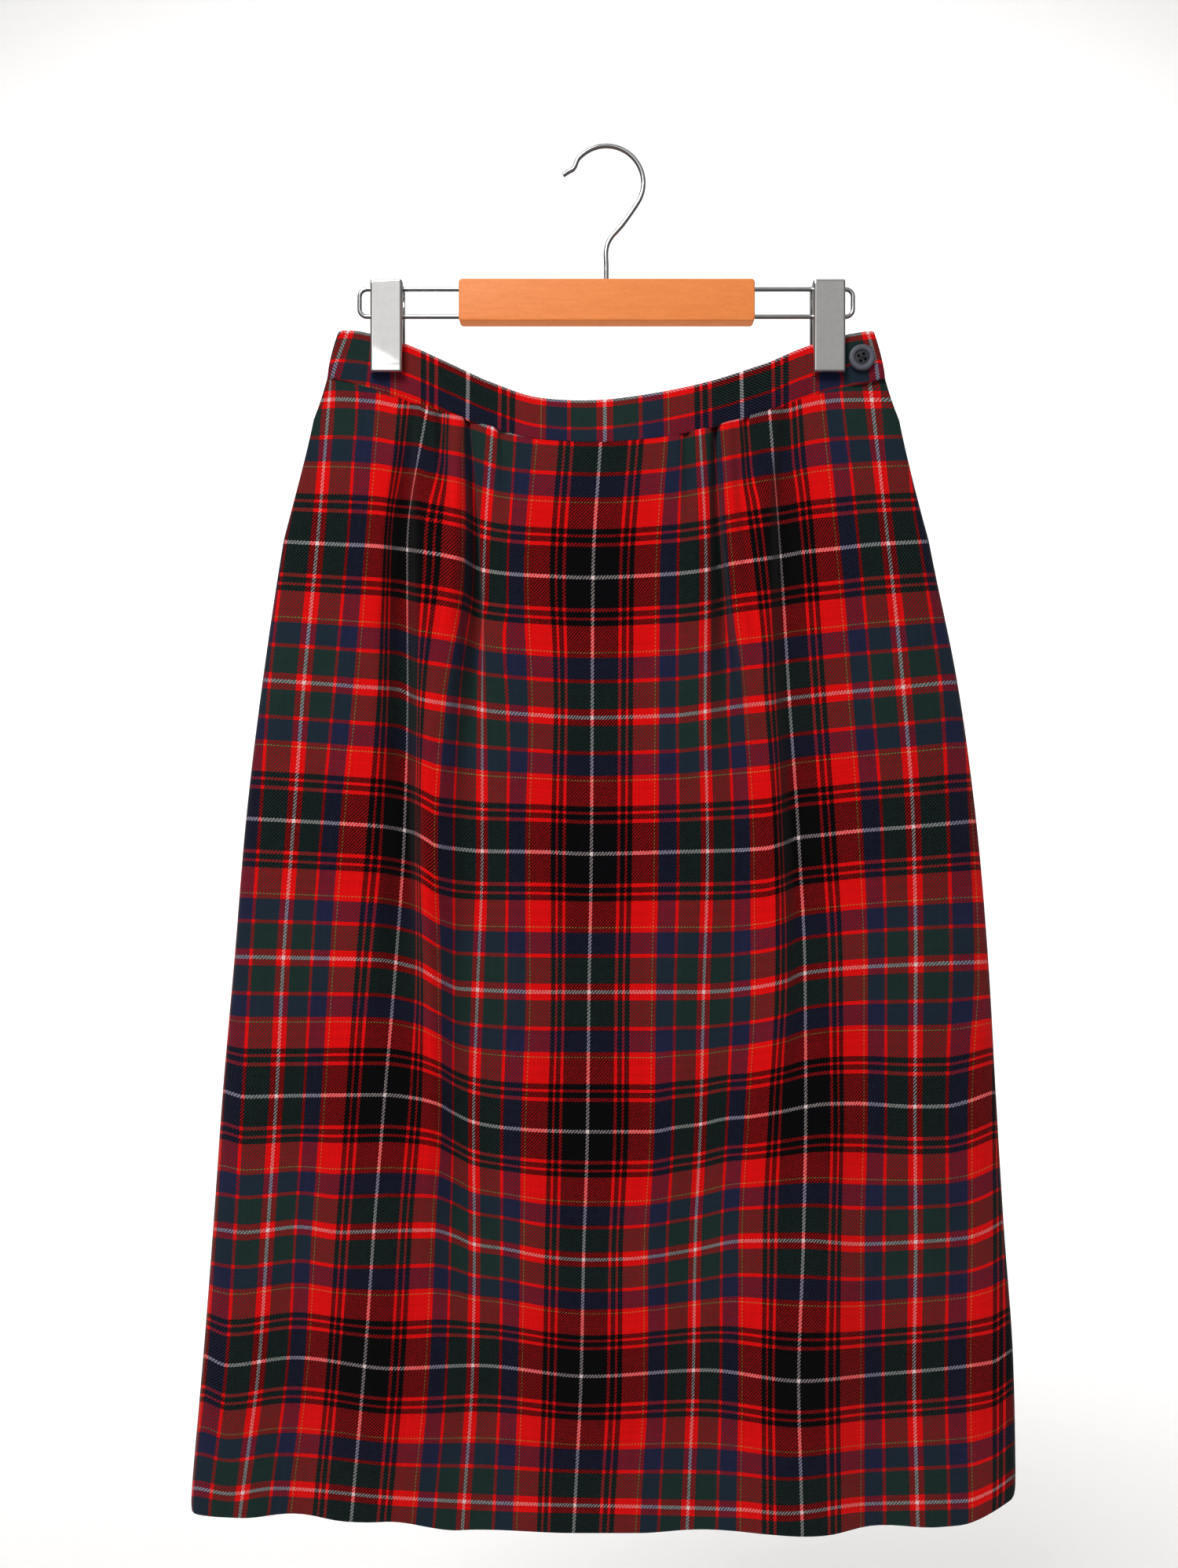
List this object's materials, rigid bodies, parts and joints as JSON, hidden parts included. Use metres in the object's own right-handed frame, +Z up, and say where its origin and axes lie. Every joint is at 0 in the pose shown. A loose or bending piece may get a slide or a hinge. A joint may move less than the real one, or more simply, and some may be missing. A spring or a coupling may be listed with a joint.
{
  "type": "tartan skirt on a clip hanger",
  "caption": "Knee-length A-line wool tartan skirt with a narrow waistband and side button, hanging flat from a wooden bar hanger with sliding metal clips.",
  "frame": {"origin": "underside of the crown of the hanger's hook, where a rail or wall hook carries it", "axes": "+Z up, +X to the viewer's right along the hanger's bar, the skirt's front faces -Y"},
  "size_m": [0.5122, 0.0486, 0.8546],
  "materials": {
    "tartan_cloth": "woollen twill woven in a red, black, green and blue tartan with white and yellow lines",
    "band_cloth": "the same tartan twill, cut on the cross grain",
    "button_resin": "dark slate four-hole button with a satin gloss",
    "bar_wood": "smooth orange-stained hardwood, satin lacquer",
    "steel_wire": "bright plated steel wire",
    "clip_metal": "plated folded sheet steel, satin bright",
    "spring_steel": "dull spring steel"
  },
  "bodies": {
    "root": {"skirt_front": "tartan_cloth", "skirt_back": "tartan_cloth", "waistband": "band_cloth", "button": "button_resin", "hanger_hook": "steel_wire", "hanger_bar": "bar_wood", "wire_left": "steel_wire", "wire_right": "steel_wire", "clip_left_front": "clip_metal", "clip_left_back": "clip_metal", "clip_left_spring": "spring_steel", "clip_right_front": "clip_metal", "clip_right_back": "clip_metal", "clip_right_spring": "spring_steel"}
  },
  "joints": []
}
